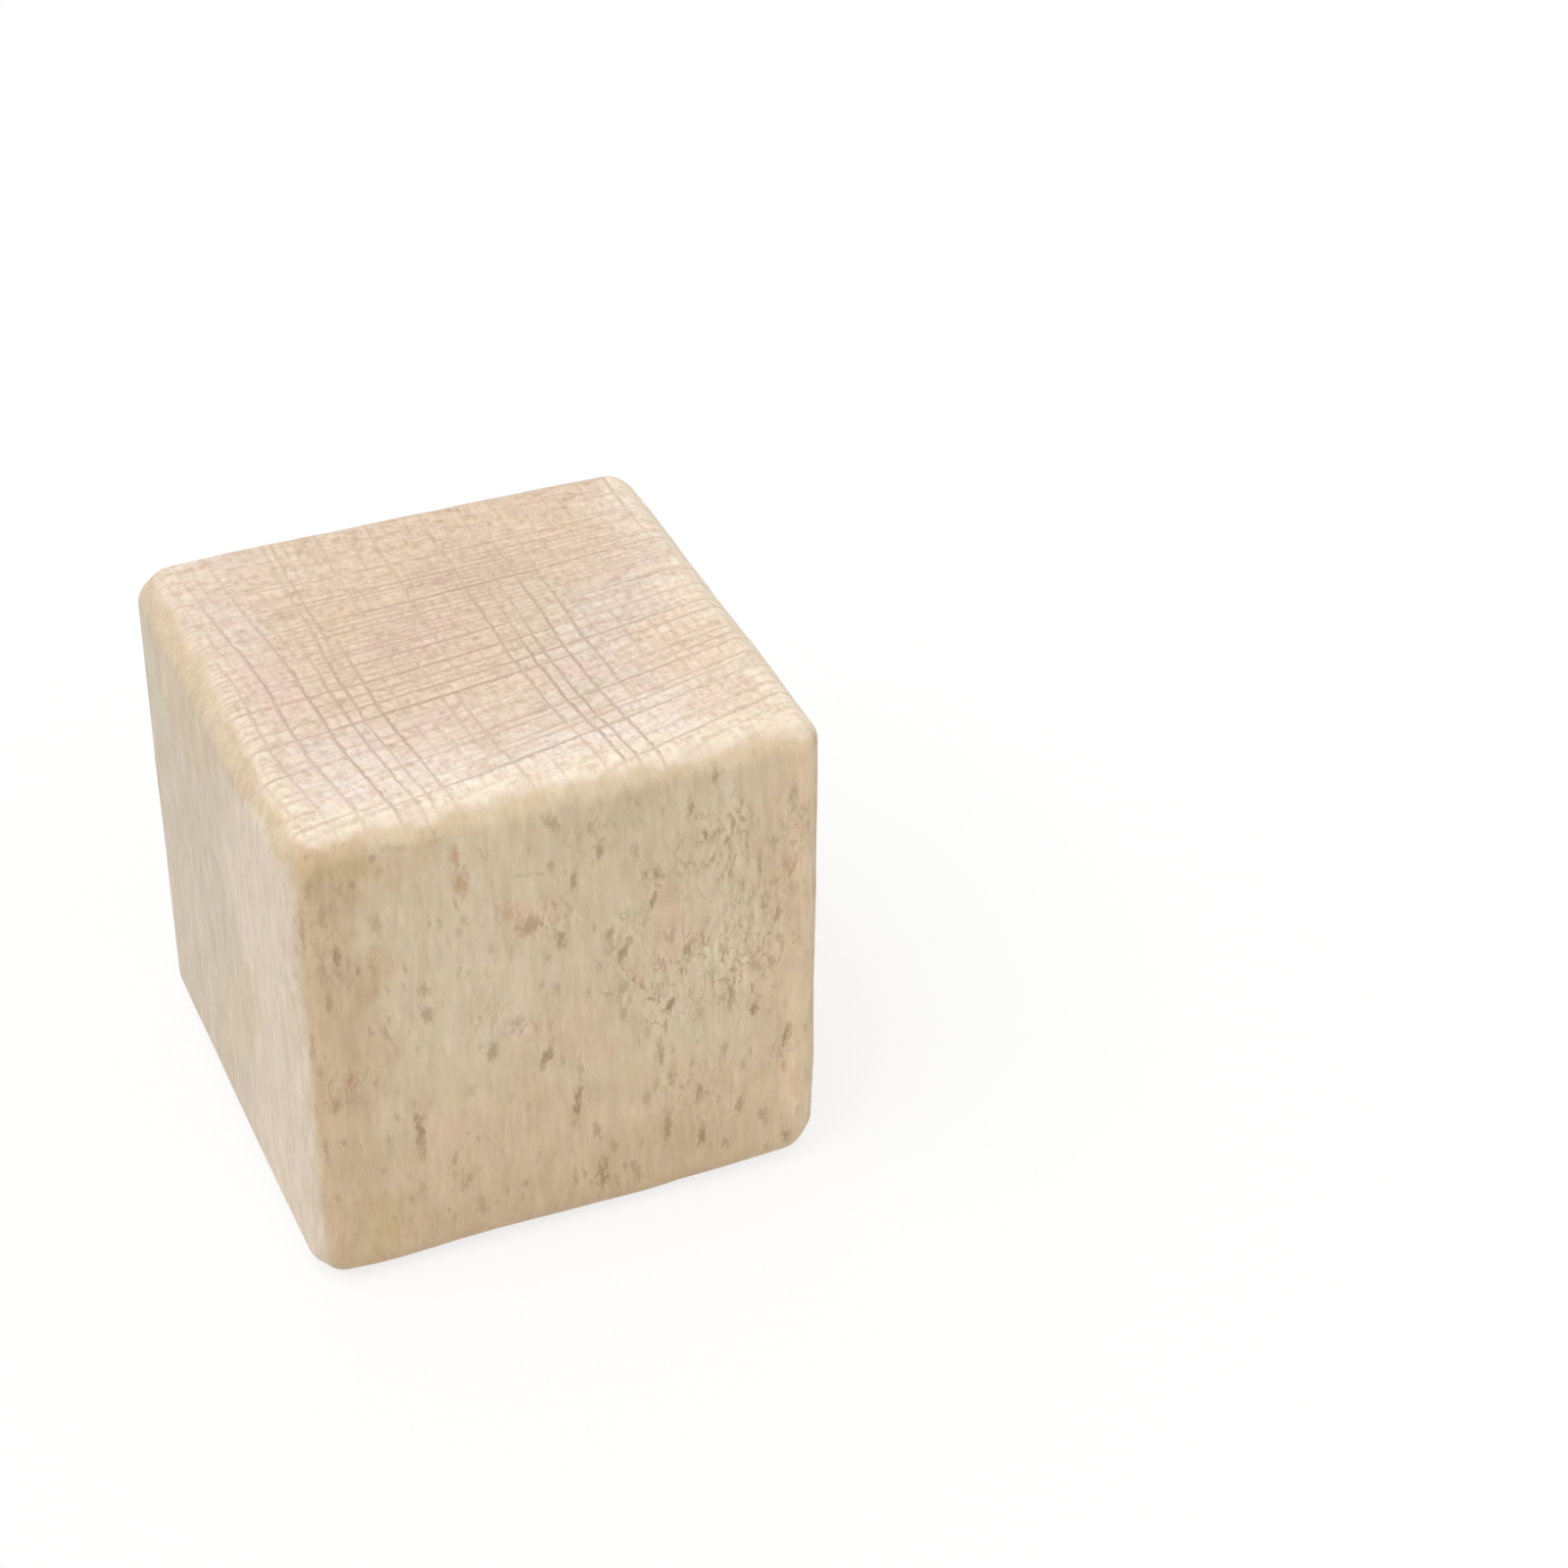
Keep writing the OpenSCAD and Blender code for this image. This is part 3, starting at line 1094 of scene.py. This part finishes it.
threads = (ray_threads - 0.5) + (ring_threads - 0.5) * ring_thread_share
fineness = flat_end * (1 - edge_fineness) + edge_fineness
end_fine = (threads * thread_depth + (speckle - 0.5) * speckle_depth) * fineness
end_fine = end_fine + fine_lift - end_fine.at_least(0.0) * light_cut
broken = ring_threads * break_by_rings + ray_threads * break_by_rays - break_floor
line_share = rings.at_least(rays * ray_strength) * broken

end_ground = stained(slow_colour, end_fine, end_change)
end_dark = vectors("MULTIPLY", end_ground, line_stain)
end_colour = blend(line_share, end_ground, end_dark)
print("thread depth:", thread_depth)

# %% [markdown]
# ### Side grain
#
# Down the sides the fibres lie in the surface, so everything is drawn out upright. Faint streaks, a
# few tenths of a millimetre wide, are noise stretched along the log. The front and the back also have
# countless flecks too small to place. A Voronoi texture scatters them: each cell has one dot in its
# middle and a random colour, which says whether it shows. On the left and the right the rays are
# cut across, and their ends are short upright dashes, which are the same kind of dots, longer.

# %% Streaks, small flecks and dashes
cells_to_the_mm = (1.5, 1.5, 0.60)
cell_dot = (0.05, 0.42)
cell_odds = (0.45, 1.0)
dashes_to_the_mm = (1.7, 1.7, 0.40)
dash_dot = (0.08, 0.32)
dash_odds = (0.30, 0.90)
shake_reach = (1.0, 0.3, 1.5)
dash_shake = (0.5, 0.5, 0.4)

streaks = grain_noise(in_log, (2.4, 2.4, 0.30), 2.2, 0.70, seed=31.0)
mottle = grain_noise(in_log, (0.60, 0.60, 0.25), 1.5, 0.6, seed=91.0)
shake_colour = grain_noise(here, (1.2, 1.2, 0.8), 2.0, seed=12.0, output="Color")
shake = vectors("SUBTRACT", shake_colour, (0.5, 0.5, 0.5))
shaken = vectors("MULTIPLY_ADD", shake, shake_reach, here)


def cells(vector):
    """Cells around scattered dots: how far the nearest dot is, and a random number for it."""
    near = wood.add("ShaderNodeTexVoronoi", {"feature": "F1"}, {"Vector": vector, "Scale": 1.0})
    return near, part_of(near.other("Color"), "X")


cell_away, cell_chance = cells(vectors("MULTIPLY", shaken, cells_to_the_mm))
small_flecks = (1 - fade(cell_away, *cell_dot)) * fade(cell_chance, *cell_odds)

dash_place = vectors("MULTIPLY_ADD", shake, dash_shake, vectors("MULTIPLY", here, dashes_to_the_mm))
dash_away, dash_chance = cells(dash_place)
dashes = (1 - fade(dash_away, *dash_dot)) * fade(dash_chance, *dash_odds)
print("a cell in mm:", [round(1 / part, 2) for part in cells_to_the_mm])
print("a dash's cell in mm:", [round(1 / part, 2) for part in dashes_to_the_mm])

# %% [markdown]
# ### The placed flecks
#
# A listed fleck is an oval until its outline is torn. The torn look comes from a fine noise
# that is added to the place in the fleck before the distance to its middle is taken, so the same
# rule that draws the oval draws the tears.

# %% Placed flecks
tear_across = 3.4
tear_up = 1.8
fleck_core = 0.15

ragged = grain_noise(here, (3.0, 3.0, 1.3), 1.5, 0.6, seed=61.0, output="Color")
tear = vectors("MULTIPLY_ADD", ragged, (tear_across, 0.0, tear_up), (-tear_across / 2, 0.0, -tear_up / 2))
torn_across = part_of(tear, "X")
torn_up = part_of(tear, "Z")


def placed_flecks(name):
    """How dark the flecks of one layer are, where reddish flecks count below 0."""
    place_in_it = painted(name)
    across = part_of(place_in_it, "X") + torn_across
    up = part_of(place_in_it, "Y") + torn_up
    away = (across * across + up * up) ** 0.5
    return (1 - fade(away, fleck_core, soft_reach)) * part_of(place_in_it, "Z")


dark_flecks = 0.0
red_flecks = 0.0
for name in fleck_names:
    placed = placed_flecks(name)
    dark_flecks = placed.at_least(dark_flecks)
    red_flecks = (0 - placed).at_least(red_flecks)
print("layers of flecks drawn:", layer_count)

# %% [markdown]
# ### Crinkles and cracks
#
# A crinkle shows because one side of it catches the light and the other doesn't. A Bump node could
# make that, but light from so soft a tent hardly shows it. So the light and shade of the relief are
# painted: a noise, less the same noise a quarter of a mm further right, is painted light on one flank
# of each wrinkle and painted shade on the other. Thin cracks lie where a second noise crosses its
# middle value. Each has a painted highlight on a lip beside it, from the same noise before the
# shift, and ragged gaps.

# %% Crinkles
crinkle_shift = (0.26, 0.0, 0.06)
crinkle_depth = 0.64
crinkle_least = 0.25
crinkle_stretch = (1.35, 1.0, 0.55)


def shifted_pair(stretch, detail, roughness, seed):
    """One noise twice: where it is, and moved by the width of a wrinkle."""
    moved = vectors("ADD", shaken, crinkle_shift)
    return [grain_noise(place, stretch, detail, roughness, seed=seed) for place in (shaken, moved)]


crinkle_high, crinkle_low = shifted_pair(crinkle_stretch, 2.0, 0.65, seed=51.0)
crinkle_reach = crinkle_part * (1 - crinkle_least) + crinkle_least
# painted light and shade of the wrinkles' relief: one flank lighter, one darker
crinkle_light_and_shade = (crinkle_high - crinkle_low) * crinkle_reach * crinkle_depth
print("crinkle shift in mm:", crinkle_shift)

# %% Cracks
crack_stretch = (0.85, 0.6, 0.36)
crack_width = 0.05
lip_width = 0.045
gap_band = (0.42, 0.54)

crack_high, crack_low = shifted_pair(crack_stretch, 1.5, 0.60, seed=83.0)
crack_gaps = fade(ragged, *gap_band) * crinkle_part
cracks = (1 - fade(abs(crack_low - 0.5), 0.0, crack_width)) * crack_gaps
# a painted highlight along the lip beside each crack
crack_lip_highlights = (1 - fade(abs(crack_high - 0.5), 0.0, lip_width)) * crack_gaps
print("crack width, in noise:", crack_width)

# %% [markdown]
# ### Side colour
#
# Everything on the sides comes together in two steps. What only lightens or darkens, such as
# streaks and mottle, and the painted light and shade of the wrinkles and crack lips, is laid onto the
# painted tone. What has a colour of its own, such as a fleck or a crack, is mixed in as a darker or
# redder wood. Of two marks in one place the stronger shows, and the streaks run through all of them,
# because a ray is cut along its fibres too.

# %% Ground colour of the sides
streak_depth = 0.30
left_streaks = 0.14
mottle_depth = 0.32
side_speckle = 0.11
lip_highlight = 0.07
side_change = (0.86, 1.04, 1.28)

side_fine = (streaks - 0.5) * (left_side * left_streaks + streak_depth)
side_fine += (mottle - 0.5) * mottle_depth + (speckle - 0.5) * side_speckle
# the painted light and shade of the wrinkles and the crack lips go into the side colour here
side_ground = stained(slow_colour, side_fine + crinkle_light_and_shade + crack_lip_highlights * lip_highlight, side_change)
print("streak depth, and on the left:", streak_depth, round(streak_depth + left_streaks, 2))

# %% Marks on the sides
scattered_share = 0.42
more_in_crinkles = 0.32
less_left_and_right = 0.26
dashes_at_right = 0.50
dashes_at_left = 0.22
crack_share = 0.70
mark_least = 0.50
mark_streaks = 1.2
dark_stain = (0.53, 0.47, 0.39)
red_stain = (0.82, 0.64, 0.54)

small_share = scattered_share + crinkle_part * more_in_crinkles
small_share = small_share - (left_side + right_side) * less_left_and_right
ray_ends = dashes * (right_side * dashes_at_right + left_side * dashes_at_left)
marks = dark_flecks.at_least(small_flecks * small_share).at_least(cracks * crack_share).at_least(ray_ends)
marks = marks * (mark_least + streaks * mark_streaks)

side_dark = vectors("MULTIPLY", side_ground, dark_stain)
side_red = vectors("MULTIPLY", side_ground, red_stain)
side_marked = blend(marks, side_ground, side_dark)
side_colour = blend(red_flecks, side_marked, side_red)
print("marks: darkest", dark_stain, "and reddest", red_stain)

# %% [markdown]
# ## Put the cube together
#
# One Principled shader wears both grains, mixed by the share of end grain. The wood is bare, sanded
# and dry, so it has no coat and little gloss. Fine fibres stand a few hundredths of a mm high, which
# is less than the net can show, so they are a Bump, and the roughness changes with the same grain.

# %% Put the cube together
fibre_height = 0.03 * MM
roughness_middle = 0.55
roughness_drift = 0.2

final_colour = blend(end_part, side_colour, end_colour)
height = streaks + (speckle - streaks) * end_part
bump = wood.add("ShaderNodeBump", {}, {"Strength": 1.0, "Distance": fibre_height, "Height": height})
roughness = roughness_middle + (speckle - 0.5) * roughness_drift

surface = wood.add("ShaderNodeBsdfPrincipled", {}, {
    "Base Color": final_colour, "Roughness": roughness, "Normal": bump, "IOR": 1.45,
    "Specular IOR Level": 0.35,
})
wood.add("ShaderNodeOutputMaterial", {}, {"Surface": surface})
block_mesh.materials.append(wood_material)
print("beech:", len(wood.tree.nodes), "nodes")

# %% [markdown]
